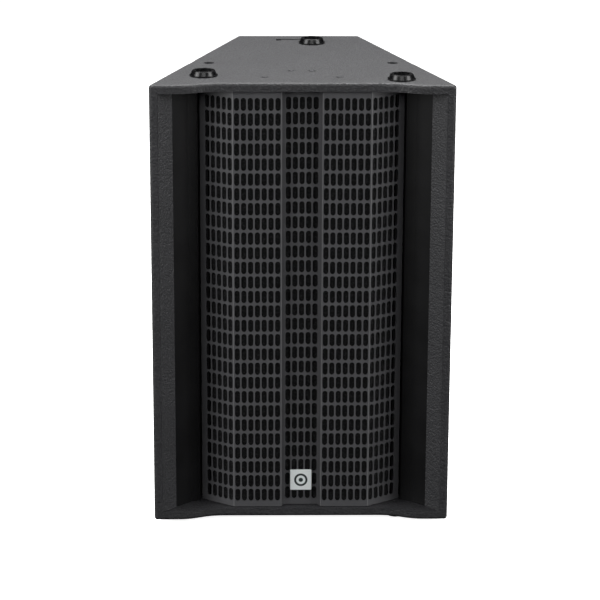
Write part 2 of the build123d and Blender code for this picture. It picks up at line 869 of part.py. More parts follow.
# ---- side rigging ----------------------------------------------------------
# A steel tube between the end panels guides a rod that rises into the cabinet
# above.  A sprung plunger in the wall runs in the rod's slot; latch plates
# cover the wall around the plunger and around the lower cross hole.
rod_top = top_z - rod_sunk
rod_centre = (-rigging_half, front_y + rigging_depth)
with BuildPart() as tube:
    with BuildSketch(Plane.XY.offset(inner_low)):
        with Locations(rod_centre):
            Circle(tube_radius)
            Circle(tube_bore, mode=Mode.SUBTRACT)
    extrude(amount=inner_height)
    with BuildSketch(on_wall(-1, rod_face_depth, plunger_z, rod_to_face)):
        Circle(plunger_bore)
    extrude(amount=2 * tube_radius, mode=Mode.SUBTRACT)
    with BuildSketch(on_wall(-1, rod_face_depth, cross_z, rod_to_face)):
        Circle(cross_hole)
    extrude(amount=tube_radius, both=True, mode=Mode.SUBTRACT)
write_pair(tube, "rigging_tube")

slot_length = rod_travel + 2 * slot_half
with BuildPart() as rod:
    with BuildSketch(Plane.XY.offset(rod_top - rod_length)):
        with Locations(rod_centre):
            Circle(rod_radius)
    extrude(amount=rod_length)
    chamfer(rod.faces().filter_by(Axis.Z).edges(), small_edge)
    slot_face = on_wall(-1, rod_face_depth, plunger_z + slot_half - slot_length / 2,
                        rod_to_face - rod_radius + slot_depth)
    with BuildSketch(slot_face):
        SlotOverall(slot_length, 2 * slot_half)
    extrude(amount=2 * slot_depth, mode=Mode.SUBTRACT)
    with BuildSketch(on_wall(-1, rod_face_depth, rod_top - rod_hole_down, rod_to_face)):
        Circle(cross_hole)
    extrude(amount=2 * rod_radius, both=True, mode=Mode.SUBTRACT)
write_pair(rod, "rigging_rod")

tip_sunk = rod_to_face - plunger_reach
with BuildPart() as plunger:
    with BuildSketch(on_wall(-1, rod_face_depth, plunger_z, tip_sunk)):
        Circle(plunger_radius)
    extrude(amount=tip_sunk - knob_sunk - knob_height)
    with BuildSketch(on_wall(-1, rod_face_depth, plunger_z, knob_sunk + knob_height)):
        Circle(knob_radius)
    extrude(amount=knob_height)
    chamfer(plunger.edges().filter_by(GeomType.CIRCLE).sort_by(Axis.X)[0], small_edge)
write_pair(plunger, "lock_plunger")

with BuildPart() as plates:
    for centre_z in plate_z.values():
        with BuildSketch(on_wall(-1, groove_at, centre_z, groove_depth)):
            RectangleRounded(plate_length, groove_width - 2 * plate_play, inner_round)
        extrude(amount=plate_thickness)
    with BuildSketch(on_wall(-1, rod_face_depth, plunger_z, groove_depth)):
        Circle(knob_window)
    extrude(amount=plate_thickness, mode=Mode.SUBTRACT)
    with BuildSketch(on_wall(-1, rod_face_depth, cross_z, groove_depth)):
        Circle(cross_hole)
    extrude(amount=plate_thickness, mode=Mode.SUBTRACT)
    screw_holes(plate_screw_spots)
write_pair(plates, "latch_plates")


# ---- rear rigging ----------------------------------------------------------
# A flanged steel link slides up through the rear slot.  Folded guides on the
# back panel hold it, and hold the link of the cabinet below.
link_top = top_z - link_sunk
link_low = link_top - link_length
link_slot = link_travel + 2 * slot_half
with BuildPart() as link:
    with BuildSketch(Plane.XY.offset(link_low)):
        link_outline(0)
    extrude(amount=link_length)
    with BuildSketch(facing_back(link_depth, plunger_z + slot_half - link_slot / 2)):
        SlotOverall(link_slot, 2 * slot_half, rotation=90)
    extrude(amount=link_thickness, both=True, mode=Mode.SUBTRACT)
    with BuildSketch(facing_back(link_depth, link_top - link_hole_down)):
        Circle(cross_hole)
    extrude(amount=link_thickness, both=True, mode=Mode.SUBTRACT)
write(link, "rear_link")

guide_front = link_depth - link_thickness / 2 - link_leg - guide_play
guide_half = link_half + guide_play


def rear_guide(lower, height):
    outer_half_width = guide_half + guide_sheet
    with BuildPart() as guide:
        with BuildSketch(Plane.XY.offset(lower)):
            with Locations((0, front_y + guide_front - guide_sheet)):
                Rectangle(2 * outer_half_width, back_panel_depth - guide_front + guide_sheet,
                          align=(Align.CENTER, Align.MIN))
            with Locations((0, front_y + back_panel_depth)):
                Rectangle(2 * (outer_half_width + guide_foot), guide_sheet,
                          align=(Align.CENTER, Align.MAX))
            with Locations((0, front_y + guide_front)):
                Rectangle(2 * guide_half, back_panel_depth - guide_front,
                          align=(Align.CENTER, Align.MIN), mode=Mode.SUBTRACT)
        extrude(amount=height)
    return guide


upper_guide = rear_guide(inner_top - guide_length, guide_length)
with BuildPart() as guide_with_stop:
    add(upper_guide.part)
    with BuildSketch(Plane.XY.offset(link_low - guide_sheet)):
        with Locations((0, front_y + guide_front)):
            Rectangle(2 * guide_half, link_leg + link_thickness + guide_play,
                      align=(Align.CENTER, Align.MIN))
    extrude(amount=guide_sheet)
write(guide_with_stop, "rear_guide")
write(rear_guide(inner_low, receiver_length), "rear_receiver")

rear_tip_depth = link_depth - link_thickness / 2 - inner_round
knob_back = cabinet_depth - knob_sunk
with BuildPart() as rear_plunger:
    with BuildSketch(facing_back(rear_tip_depth, plunger_z)):
        Circle(plunger_radius)
    extrude(amount=knob_back - knob_height - rear_tip_depth)
    with BuildSketch(facing_back(knob_back - knob_height, plunger_z)):
        Circle(knob_radius)
    extrude(amount=knob_height)
    chamfer(rear_plunger.edges().filter_by(GeomType.CIRCLE).sort_by(Axis.Y)[-1], small_edge)
write(rear_plunger, "rear_plunger")


# ---- feet and inserts ------------------------------------------------------
# Rubber cups on top take the noses of the feet of the cabinet above.
def cup_profile():
    """Half section of a cup, with its recess and the seat of its screw."""
    Polygon(
        (screw_radius, 0),
        (foot_base, 0),
        (foot_base, foot_flange),
        (foot_base - foot_step, foot_flange),
        (foot_top, foot_height - foot_edge),
        (foot_top - foot_edge, foot_height),
        (cup_bore, foot_height),
        (cup_bore, foot_height - cup_deep),
        (screw_head, foot_height - cup_deep),
        (screw_head, foot_screw_seat),
        (screw_radius, foot_screw_seat),
        align=None,
    )


foot_screw_spots = []
for foot_name, (foot_x, foot_y) in zip(foot_names, foot_centres()):
    with BuildPart() as turned_cup:
        with BuildSketch(Plane.XZ):
            cup_profile()
        revolve(axis=Axis.Z)
    with BuildPart() as cup:
        with Locations((foot_x, foot_y, top_z)):
            add(turned_cup.part)
    write(cup, f"stacking_cup_{foot_name}")
    foot_screw_spots.append(Plane(origin=(foot_x, foot_y, top_z + foot_screw_seat), z_dir=(0, 0, 1)))
    foot_screw_spots.append(Plane(origin=(foot_x, foot_y, base_z - foot_screw_seat), z_dir=(0, 0, -1)))

with BuildPart() as feet:
    with BuildSketch(Plane.XY.offset(base_z)):
        with Locations(*foot_centres()):
            Circle(foot_base)
    extrude(amount=-foot_shoulder)
    with BuildSketch(Plane.XY.offset(base_z - foot_shoulder)):
        with Locations(*foot_centres()):
            Circle(foot_nose)
    extrude(amount=foot_shoulder - foot_height)
    with BuildSketch(Plane.XY.offset(base_z - foot_screw_seat)):
        with Locations(*foot_centres()):
            Circle(screw_head)
    extrude(amount=-foot_height, mode=Mode.SUBTRACT)
    with BuildSketch(Plane.XY.offset(base_z)):
        with Locations(*foot_centres()):
            Circle(screw_radius)
    extrude(amount=-foot_height, mode=Mode.SUBTRACT)
write(feet, "rubber_feet")

with BuildPart() as inserts:
    for lower in (base_z, inner_top):
        with BuildSketch(Plane.XY.offset(lower)):
            with Locations(*insert_centres()):
                Circle(insert_radius)
                Circle(insert_bore, mode=Mode.SUBTRACT)
        extrude(amount=wall)
write(inserts, "threaded_inserts")


# ---- handles ---------------------------------------------------------------
# Moulded cup let into each side wall, with a rubber-covered bar across its mouth.
grip_up = handle_tall / 2 - handle_skin - grip_below - grip_radius
with BuildPart() as handle_cup:
    with BuildSketch(on_wall(-1, handle_depth, middle_z, handle_deep)):
        RectangleRounded(handle_tall, handle_long, handle_corner)
    extrude(amount=handle_deep)
    with BuildSketch(on_wall(-1, handle_depth, middle_z)):
        RectangleRounded(handle_tall + 2 * handle_flange, handle_long + 2 * handle_flange, handle_corner)
    extrude(amount=handle_lip)
    with BuildSketch(on_wall(-1, handle_depth, middle_z, handle_deep - handle_skin)):
        RectangleRounded(handle_tall - 2 * handle_skin, handle_long - 2 * handle_skin,
                         handle_corner - handle_skin)
    extrude(amount=handle_deep, mode=Mode.SUBTRACT)
    screw_holes(handle_screw_spots)
write_pair(handle_cup, "handle_cup")

along_wall = Vector(math.sin(side_angle), math.cos(side_angle), 0)
grip_centre = on_wall(-1, handle_depth, middle_z + grip_up, grip_sunk).origin
with BuildPart() as grip:
    with BuildSketch(Plane(origin=grip_centre, x_dir=(0, 0, 1), z_dir=along_wall)):
        Circle(grip_radius)
    extrude(amount=handle_long / 2 - handle_skin, both=True)
write_pair(grip, "handle_grip")


# ---- connector dish --------------------------------------------------------
# Moulded dish in the back panel with the input and link sockets on its floor.
dish_z = middle_z + dish_rise
flange_depth = cabinet_depth - dish_sunk
floor_depth = cabinet_depth - dish_deep
socket_spots = [(-socket_spacing / 2, 0), (socket_spacing / 2, 0)]
with BuildPart() as dish:
    with BuildSketch(facing_back(floor_depth - dish_skin, dish_z)):
        RectangleRounded(dish_wide, dish_tall, dish_corner)
    extrude(amount=flange_depth - floor_depth + dish_skin)
    with BuildSketch(facing_back(flange_depth - dish_lip, dish_z)):
        RectangleRounded(dish_wide + 2 * dish_flange, dish_tall + 2 * dish_flange, dish_corner)
    extrude(amount=dish_lip)
    with BuildSketch(facing_back(floor_depth, dish_z)):
        RectangleRounded(dish_wide - 2 * dish_skin, dish_tall - 2 * dish_skin, dish_corner - dish_skin)
    extrude(amount=dish_deep, mode=Mode.SUBTRACT)
    with BuildSketch(facing_back(floor_depth - dish_skin, dish_z)):
        with Locations(*socket_spots):
            Circle(socket_radius + socket_play)
    extrude(amount=dish_skin, mode=Mode.SUBTRACT)
    screw_holes(dish_screw_spots)
write(dish, "connector_dish")

with BuildPart() as sockets:
    with BuildSketch(facing_back(floor_depth, dish_z)):
        with Locations(*socket_spots):
            RectangleRounded(socket_wide, socket_tall, socket_corner)
    extrude(amount=socket_plate)
    with BuildSketch(facing_back(floor_depth, dish_z)):
        with Locations(*socket_spots):
            Circle(socket_radius)
    extrude(amount=-socket_tail)
    with BuildSketch(facing_back(floor_depth + socket_plate, dish_z)):
        with Locations(*socket_spots):
            Circle(socket_radius - socket_rim)
            Circle(socket_post, mode=Mode.SUBTRACT)
    extrude(amount=-socket_tail, mode=Mode.SUBTRACT)
write(sockets, "speaker_sockets")


# ---- crossover -------------------------------------------------------------
# Board on stand-offs inside the back panel, with its chokes and capacitors.
board_z = base_z + board_height
board_depth = back_panel_depth - board_standoff
with BuildPart() as board:
    with BuildSketch(facing_front(board_depth, board_z)):
        Rectangle(board_wide, board_tall)
    extrude(amount=board_thickness)
    with BuildSketch(facing_front(board_depth, board_z)):
        with GridLocations(board_wide - 4 * standoff_radius, board_tall - 4 * standoff_radius, 2, 2):
            Circle(standoff_radius)
    extrude(amount=-board_standoff)
write(board, "crossover_board")

part_depth = board_depth - board_thickness
with BuildPart() as chokes:
    with BuildSketch(facing_front(part_depth, board_z)):
        with Locations(*choke_spots):
            Circle(choke_radius)
            Circle(choke_bore, mode=Mode.SUBTRACT)
    extrude(amount=choke_height)
write(chokes, "crossover_chokes")

with BuildPart() as capacitors:
    with BuildSketch(facing_front(part_depth, board_z)):
        with Locations(*capacitor_spots):
            Circle(capacitor_radius)
    extrude(amount=capacitor_length)
    fillet(capacitors.faces().filter_by(Axis.Y).group_by(Axis.Y)[0].edges(), small_edge)
write(capacitors, "crossover_capacitors")


# ---- damping foam ----------------------------------------------------------
# Foam pads on the side walls, above and below the braces.
brace_top = middle_z + brace_offset + brace_thickness
pad_height = inner_top - brace_top - 2 * damping_end_gap
with BuildPart() as pads:
    for lower in (brace_top + damping_end_gap, inner_low + damping_end_gap):
        with BuildSketch(Plane.XY.offset(lower)):
            Polygon(
                (-inner_half(damping_front), front_y + damping_front),
                (-inner_half(damping_back), front_y + damping_back),
                (-inner_half(damping_back) + damping_thickness, front_y + damping_back),
                (-inner_half(damping_front) + damping_thickness, front_y + damping_front),
                align=None,
            )
        extrude(amount=pad_height)
write_pair(pads, "damping_pads")


# ---- all wood screws -------------------------------------------------------
with BuildPart() as screw:
    Cylinder(screw_head, screw_head_height, align=(Align.CENTER, Align.CENTER, Align.MIN))
    Cylinder(screw_radius, screw_length, align=(Align.CENTER, Align.CENTER, Align.MAX))
    with Locations((0, 0, screw_head_height)):
        Cylinder(screw_recess, screw_recess_depth,
                 align=(Align.CENTER, Align.CENTER, Align.MAX), mode=Mode.SUBTRACT)

with BuildPart() as wall_screws:
    with Locations(*handle_screw_spots, *plate_screw_spots):
        add(screw.part)
with BuildPart() as screws:
    with Locations(*woofer_screw_spots, *horn_screw_spots, *dish_screw_spots, *foot_screw_spots):
        add(screw.part)
    add(wall_screws.part)
    mirror(wall_screws.part, about=Plane.YZ)
write(screws, "wood_screws")
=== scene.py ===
"""Looks of the line array loudspeaker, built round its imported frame.  Metres, +Z up, front faces -Y."""
import math

import bmesh
import bpy
from mathutils import Matrix, Vector, noise


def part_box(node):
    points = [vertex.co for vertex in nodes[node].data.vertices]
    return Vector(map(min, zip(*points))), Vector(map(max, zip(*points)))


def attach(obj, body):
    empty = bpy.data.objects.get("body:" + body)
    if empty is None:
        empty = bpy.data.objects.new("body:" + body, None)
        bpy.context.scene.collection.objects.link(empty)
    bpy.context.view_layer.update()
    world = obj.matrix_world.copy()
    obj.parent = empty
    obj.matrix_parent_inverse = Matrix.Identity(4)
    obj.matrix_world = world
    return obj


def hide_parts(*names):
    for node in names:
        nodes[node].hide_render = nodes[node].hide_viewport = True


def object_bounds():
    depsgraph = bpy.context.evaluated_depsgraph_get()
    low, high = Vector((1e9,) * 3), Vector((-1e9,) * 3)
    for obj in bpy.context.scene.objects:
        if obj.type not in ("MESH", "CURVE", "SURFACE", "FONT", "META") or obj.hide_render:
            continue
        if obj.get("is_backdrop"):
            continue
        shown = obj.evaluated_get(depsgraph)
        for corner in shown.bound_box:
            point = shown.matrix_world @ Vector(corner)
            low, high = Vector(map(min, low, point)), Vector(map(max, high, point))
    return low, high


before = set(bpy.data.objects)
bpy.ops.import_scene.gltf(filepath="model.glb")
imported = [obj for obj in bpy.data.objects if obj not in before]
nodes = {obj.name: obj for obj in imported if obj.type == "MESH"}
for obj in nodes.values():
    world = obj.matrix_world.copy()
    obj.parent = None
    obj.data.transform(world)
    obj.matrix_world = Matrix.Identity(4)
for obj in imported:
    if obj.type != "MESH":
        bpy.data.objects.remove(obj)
cad_low, cad_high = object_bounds()


# ---- plywood cabinet -------------------------------------------------------
# Six birch plywood panels and two front battens, glued and screwed into one
# trapezoid box.  Sprayed structure paint covers it with fine hard pebbles and
# hides the joints between the panels.
class Wire:
    """A shader socket; arithmetic on wires adds Math nodes to their tree."""

    def __init__(self, tree, socket=None):
        self.tree = tree
        self.socket = socket

    def node(self, kind, settings=None, sockets=None, output=0):
        """Adds any other node: its type, its settings, then the values or links of its sockets."""
        made = self.tree.nodes.new("ShaderNode" + kind)
        for name, value in (settings or {}).items():
            if name == "stops":
                for spare in range(len(value) - 2):
                    made.color_ramp.elements.new(0.5)
                for element, (place, shade) in zip(made.color_ramp.elements, value):
                    element.position = place
                    element.color = (*shade, 1.0)
            else:
                setattr(made, name, value)
        for name, value in (sockets or {}).items():
            if isinstance(value, Wire):
                self.tree.links.new(value.socket, made.inputs[name])
            else:
                made.inputs[name].default_value = value
        return Wire(self.tree, made.outputs[output])

    def maths(self, operation, *values):
        return self.node("Math", {"operation": operation}, dict(enumerate(values)))

    def __add__(self, other):
        return self.maths("ADD", self, other)

    def __sub__(self, other):
        return self.maths("SUBTRACT", self, other)

    def __rsub__(self, other):
        return self.maths("SUBTRACT", other, self)

    def __mul__(self, other):
        return self.maths("MULTIPLY", self, other)

    def __truediv__(self, other):
        return self.maths("DIVIDE", self, other)

    def __pow__(self, other):
        return self.maths("POWER", self, other)

    def __abs__(self):
        return self.maths("ABSOLUTE", self)

    __radd__ = __add__
    __rmul__ = __mul__

    def sine(self):
        return self.maths("SINE", self)

    def step(self, low, high):
        """0 below low, 1 above high, smooth between."""
        limits = {"Value": self, "From Min": low, "From Max": high}
        return self.node("MapRange", {"interpolation_type": "SMOOTHSTEP"}, limits)

    def axes(self):
        """The x, y and z of a vector."""
        split = self.node("SeparateXYZ", {}, {0: self})
        outputs = split.socket.node.outputs
        return [Wire(self.tree, output) for output in outputs]

    def grain(self, size, detail=2.0, rough=0.5):
        """Soft noise whose lumps are about this size in metres."""
        shape = {"Vector": self, "Scale": 1 / size, "Detail": detail, "Roughness": rough}
        return self.node("TexNoise", {}, shape)

    def cells(self, size, feature="F1", output="Distance"):
        """Distance within cells about this size in metres."""
        return self.node("TexVoronoi", {"feature": feature}, {"Vector": self, "Scale": 1 / size}, output)

    def stretched(self, x, y, z):
        return self.node("Mapping", {}, {"Vector": self, "Scale": (x, y, z)})

    def shades(self, first, second):
        """A colour between two, by this mask."""
        mix = {0: self, 6: (*first, 1.0), 7: (*second, 1.0)}
        return self.node("Mix", {"data_type": "RGBA"}, mix, 2)

    def over(self, below, above):
        """Two colour wires mixed by this mask."""
        return self.node("Mix", {"data_type": "RGBA"}, {0: self, 6: below, 7: above}, 2)

    def relief(self, depth, strength=1.0):
        """A normal for a surface whose height is this wire, times a depth in metres."""
        return self.node("Bump", {}, {"Strength": strength, "Distance": depth, "Height": self})


def finish(name, plain, varying):
    """A material: plain socket values, and a function of the position that returns the rest."""
    made = bpy.data.materials.new(name)
    made.use_nodes = True
    tree = made.node_tree
    shader = tree.nodes["Principled BSDF"]
    for socket, value in plain.items():
        shader.inputs[socket].default_value = value
    place = Wire(tree).node("TexCoord", output="Object")
    for socket, wire in varying(place).items():
        tree.links.new(wire.socket, shader.inputs[socket])
    return made


def coat(finish_made, *names):
    """Gives CAD nodes their finish."""
    for name in names:
        slots = nodes[name].material_slots
        if not slots:
            nodes[name].data.materials.append(finish_made)
        for slot in slots:
            slot.link = "OBJECT"
            slot.material = finish_made


pebble = 0.0026


def structure_paint(place):
    pebbles = place.cells(pebble, "SMOOTH_F1")
    blisters = place.cells(pebble * 2.3, "SMOOTH_F1")
    fine = place.grain(0.0009)
    cloud = place.grain(0.09, 4.0)
    height = (1 - pebbles) * 0.75 + (1 - blisters) * 0.35 + fine * 0.25
    # Lighter on the pebble tops and darker in the hollows between them: painted shade between the pebbles,
    # with a random cloudy tone over it.
    pebble_shade_and_tone = (pebbles * 0.7 + cloud * 0.5).step(0.2, 0.9)
    return {
        "Base Color": pebble_shade_and_tone.shades((0.038, 0.038, 0.041), (0.020, 0.020, 0.022)),
        "Roughness": pebbles * 0.16 + cloud * 0.12 + 0.40,
        "Normal": height.relief(0.0011),
    }


cabinet_paint = finish("structure_paint", {"Specular IOR Level": 0.5}, structure_paint)
coat(cabinet_paint, "top_panel", "bottom_panel", "back_panel", "side_panel_left", "side_panel_right",
     "front_batten_left", "front_batten_right")


# ---- wings, baffle and grille rails ----------------------------------------
# Milled plywood wings beside the grille, the board that carries the drivers
# and the rails that hold the grille.  All are rolled with smooth black paint.
def rolled_paint(place):
    stipple = place.grain(0.0012, 3.0)
    cloud = place.grain(0.05, 3.0)
    return {
        "Base Color": cloud.step(0.3, 0.75).shades((0.0030, 0.0030, 0.0034), (0.0050, 0.0050, 0.0055)),
        "Roughness": cloud * 0.14 + 0.40,
        "Normal": stipple.relief(0.00012, 0.5),
    }


smooth_paint = finish("smooth_black_paint", {"Specular IOR Level": 0.18}, rolled_paint)
coat(smooth_paint, "wing_left", "wing_right", "woofer_baffle", "grille_rail_left", "grille_rail_right")


# ---- braces ----------------------------------------------------------------
# Bare birch plywood inside the cabinet, glued between the panels.  Long grain
# shows on the faces and dark glue lines between the plies on the edges.
def bare_birch(place):
    x, y, z = place.axes()
    fibre = place.stretched(0.12, 1.0, 1.0).grain(0.0022, 5.0, 0.65)
    figure = place.stretched(0.2, 1.0, 1.0).grain(0.03, 3.0)
    plies = ((z * (2 * math.pi / 0.0026)).sine() * 0.5 + 0.5).step(0.75, 0.98)
    wood = (fibre * 0.6 + figure * 0.5).step(0.3, 0.8)
    light = wood.shades((0.60, 0.43, 0.25), (0.42, 0.27, 0.14))
    dark = wood.shades((0.25, 0.15, 0.08), (0.20, 0.12, 0.06))
    return {
        "Base Color": plies.over(light, dark),
        "Roughness": fibre * 0.15 + 0.55,
        "Normal": fibre.relief(0.0002, 0.6),
    }


coat(finish("bare_birch_ply", {}, bare_birch), "upper_brace", "lower_brace")


# ---- woofers ---------------------------------------------------------------
# Two ten-inch drivers: a cast aluminium frame with a black crackle coat, a
# nitrile surround, a pressed paper cone with its dust cap, a ferrite magnet.
upper_low, upper_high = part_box("woofer_cone_upper")
lower_low, lower_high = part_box("woofer_cone_lower")
cone_axes = [(upper_low.z + upper_high.z) / 2, (lower_low.z + lower_high.z) / 2]
between_cones = sum(cone_axes) / 2
cone_spread = cone_axes[0] - between_cones


def from_cone_axis(place):
    """Distance from the nearer woofer's axis."""
    x, y, z = place.axes()
    up = abs(z - between_cones) - cone_spread
    return (x * x + up * up) ** 0.5


def crackle_coat(place):
    crackle = place.cells(0.0016, "DISTANCE_TO_EDGE")
    cloud = place.grain(0.03)
    return {
        "Base Color": cloud.shades((0.017, 0.017, 0.018), (0.030, 0.030, 0.032)),
        "Roughness": cloud * 0.2 + 0.4,
        "Normal": crackle.step(0.0, 0.25).relief(0.0003),
    }


def pressed_paper(place):
    fibre = place.grain(0.0011, 5.0, 0.7)
    rings = (from_cone_axis(place) * (2 * math.pi / 0.009)).sine()
    return {
        "Base Color": fibre.step(0.3, 0.7).shades((0.012, 0.012, 0.013), (0.045, 0.044, 0.042)),
        "Roughness": fibre * 0.2 + 0.7,
        "Normal": (fibre * 0.5 + rings * 0.3).relief(0.0004),
    }


def nitrile(place):
    bloom = place.grain(0.012, 4.0)
    return {
        "Base Color": bloom.shades((0.010, 0.010, 0.010), (0.020, 0.020, 0.021)),
        "Roughness": bloom * 0.25 + 0.35,
        "Normal": place.grain(0.0006).relief(0.00006, 0.5),
    }


def ferrite(place):
    pores = place.cells(0.0012)
    return {
        "Base Color": place.grain(0.01).shades((0.035, 0.035, 0.038), (0.065, 0.063, 0.064)),
        "Roughness": pores * 0.3 + 0.55,
        "Normal": pores.relief(0.0002, 0.6),
    }


coat(finish("cast_frame_coat", {"Metallic": 0.0}, crackle_coat), "woofer_frame_upper", "woofer_frame_lower")
coat(finish("nitrile_surround", {}, nitrile), "woofer_surround_upper", "woofer_surround_lower")
coat(finish("pressed_paper_cone", {}, pressed_paper), "woofer_cone_upper", "woofer_cone_lower",
     "woofer_dust_cap_upper", "woofer_dust_cap_lower")
coat(finish("ferrite_magnet", {}, ferrite), "woofer_magnet_upper", "woofer_magnet_lower")


# ---- horn and compression driver -------------------------------------------
# Waveguide moulded in structural foam, screwed to the baffle from the front,
# with the driver's pot and its titanium diaphragm bolted on behind the throat.
def moulded_grain(place):
    leather = place.cells(0.0009, "DISTANCE_TO_EDGE").step(0.0, 0.3)
    flow = place.grain(0.04, 3.0)
    return {
        "Base Color": flow.shades((0.014, 0.014, 0.015), (0.022, 0.022, 0.023)),
        "Roughness": flow * 0.15 + 0.42,
        "Normal": leather.relief(0.00016, 0.7),
    }


def turned_pot(place):
    x, y, z = place.axes()
    lathe = (y * (2 * math.pi / 0.0011)).sine()
    speck = place.grain(0.0008)
    return {
        "Base Color": speck.shades((0.018, 0.018, 0.019), (0.036, 0.036, 0.038)),
        "Roughness": speck * 0.2 + 0.35,
        "Normal": lathe.relief(0.00004, 0.5),
    }


def drawn_titanium(place):
    haze = place.grain(0.006, 4.0)
    return {
        "Base Color": haze.shades((0.52, 0.53, 0.56), (0.68, 0.68, 0.70)),
        "Roughness": haze * 0.2 + 0.25,
        "Normal": place.grain(0.0008).relief(0.00003, 0.4),
    }


moulding = finish("moulded_black_plastic", {"Specular IOR Level": 0.5}, moulded_grain)
coat(moulding, "horn")
coat(finish("driver_pot", {}, turned_pot), "driver_body")
coat(finish("titanium_diaphragm", {"Metallic": 1.0}, drawn_titanium), "driver_diaphragm")


# ---- side rigging ----------------------------------------------------------
# Zinc plated guide tubes and ground rods, sprung plungers that lock a rod in
# its slot, and powder coated latch plates screwed into grooves in the walls.
def zinc_plate(place):
    drawn = place.stretched(1.0, 1.0, 0.06).grain(0.0008, 4.0)
    spangle = place.cells(0.007, "F1", "Color").axes()[0]
    return {
        "Base Color": (drawn * 0.5 + spangle * 0.4).shades((0.46, 0.47, 0.49), (0.70, 0.71, 0.72)),
        "Roughness": drawn * 0.25 + 0.24,
        "Normal": drawn.relief(0.00004, 0.4),
    }


def black_powder(place):
    peel = place.grain(0.0011, 2.0)
    cloud = place.grain(0.03, 3.0)
    return {
        "Base Color": cloud.shades((0.016, 0.016, 0.017), (0.026, 0.026, 0.028)),
        "Roughness": cloud * 0.15 + 0.36,
        "Normal": peel.relief(0.00010, 0.7),
    }


zinc = finish("zinc_plated_steel", {"Metallic": 1.0}, zinc_plate)
powder_coat = finish("black_powder_coat", {"Specular IOR Level": 0.5}, black_powder)
coat(zinc, "rigging_tube_left", "rigging_tube_right", "rigging_rod_left", "rigging_rod_right",
     "lock_plunger_left", "lock_plunger_right", "rear_plunger")
coat(powder_coat, "latch_plates_left", "latch_plates_right")


# ---- rear rigging ----------------------------------------------------------
# Laser cut and folded steel link in its two guides, all powder coated; the
# guides are riveted to the inside of the back panel.
coat(powder_coat, "rear_link", "rear_guide", "rear_receiver")


# ---- crossover -------------------------------------------------------------
# Fibreglass board on stand-offs, with copper chokes and wrapped film
# capacitors standing on it.
def lacquered_board(place):
    x, y, z = place.axes()
    tracks_across = abs((z * (2 * math.pi / 0.012)).sine()).step(0.90, 0.94)
    tracks_up = abs((x * (2 * math.pi / 0.016)).sine()).step(0.93, 0.96)
    patch = place.grain(0.022).step(0.49, 0.51)
    copper = tracks_across * patch + tracks_up * (1 - patch)
    return {
        "Base Color": copper.shades((0.012, 0.085, 0.030), (0.035, 0.17, 0.06)),
        "Roughness": place.grain(0.004) * 0.15 + 0.25,
        "Normal": copper.relief(0.00008, 0.6),
    }


def wound_copper(place):
    x, y, z = place.axes()
    turns = (y * (2 * math.pi / 0.0015)).sine() * 0.5 + 0.5
    # The colour follows the wave of the turns, lighter on each crest and darker in the grooves: painted
    # shade between the turns.
    return {
        "Base Color": turns.shades((0.28, 0.09, 0.035), (0.62, 0.26, 0.12)),
        "Roughness": turns * 0.15 + 0.25,
        "Normal": turns.relief(0.0004),
    }


def wrapped_film(place):
    x, y, z = place.axes()
    band = abs((y * (2 * math.pi / 0.030)).sine()).step(0.90, 0.95)
    return {
        "Base Color": band.shades((0.36, 0.20, 0.035), (0.06, 0.035, 0.01)),
        "Roughness": place.grain(0.003) * 0.2 + 0.22,
        "Normal": place.grain(0.0025).relief(0.0001, 0.5),
    }


coat(finish("lacquered_board", {}, lacquered_board), "crossover_board")
coat(finish("wound_copper", {"Metallic": 0.9}, wound_copper), "crossover_chokes")
coat(finish("wrapped_film", {}, wrapped_film), "crossover_capacitors")


# ---- damping foam ----------------------------------------------------------
# Convoluted grey foam, cut with a wave on both axes, glued to the side walls
# inside the cabinet above and below the braces.
wave_pitch = 0.028
wave_step = 0.0035
foam_base = 0.45           # share of the thickness under the waves


# dark is the painted shade in the pores, pale the colour of the struts.
def open_cells(dark, pale):
    def cells(place):
        pores = place.cells(0.0011, "DISTANCE_TO_EDGE")
        tufts = place.grain(0.0035, 3.0)
        struts = 1 - pores.step(0.0, 0.22)
        return {
            # The pores take the dark colour as painted shade; the struts take the pale one where the tufts
            # are high, and the dark one elsewhere.
            "Base Color": (struts * tufts.step(0.45, 0.65)).shades(dark, pale),
            "Roughness": tufts * 0.1 + 0.85,
            "Normal": (struts * 0.8 + tufts * 0.6).relief(0.0009),
        }
    return cells


def mesh_piece(name, shape, material, smooth_angle=40.0):
    """A new piece from a bmesh, shaded smooth except over sharp edges."""
    mesh = bpy.data.meshes.new(name)
    shape.normal_update()
    for edge in shape.edges:
        edge.smooth = not edge.is_boundary and edge.calc_face_angle(0.0) < math.radians(smooth_angle)
    for face in shape.faces:
        face.smooth = True
    shape.to_mesh(mesh)
    shape.free()
    piece = bpy.data.objects.new(name, mesh)
    bpy.context.scene.collection.objects.link(piece)
    piece.data.materials.append(material)
    return piece


def skin_grid(shape, rows):
    """Faces between rows of points of equal length; returns the rows of vertices."""
    made = [[shape.verts.new(point) for point in row] for row in rows]
    for near, far in zip(made, made[1:]):
        for a, b, c, d in zip(near, near[1:], far[1:], far):
            shape.faces.new((a, b, c, d))
    return made


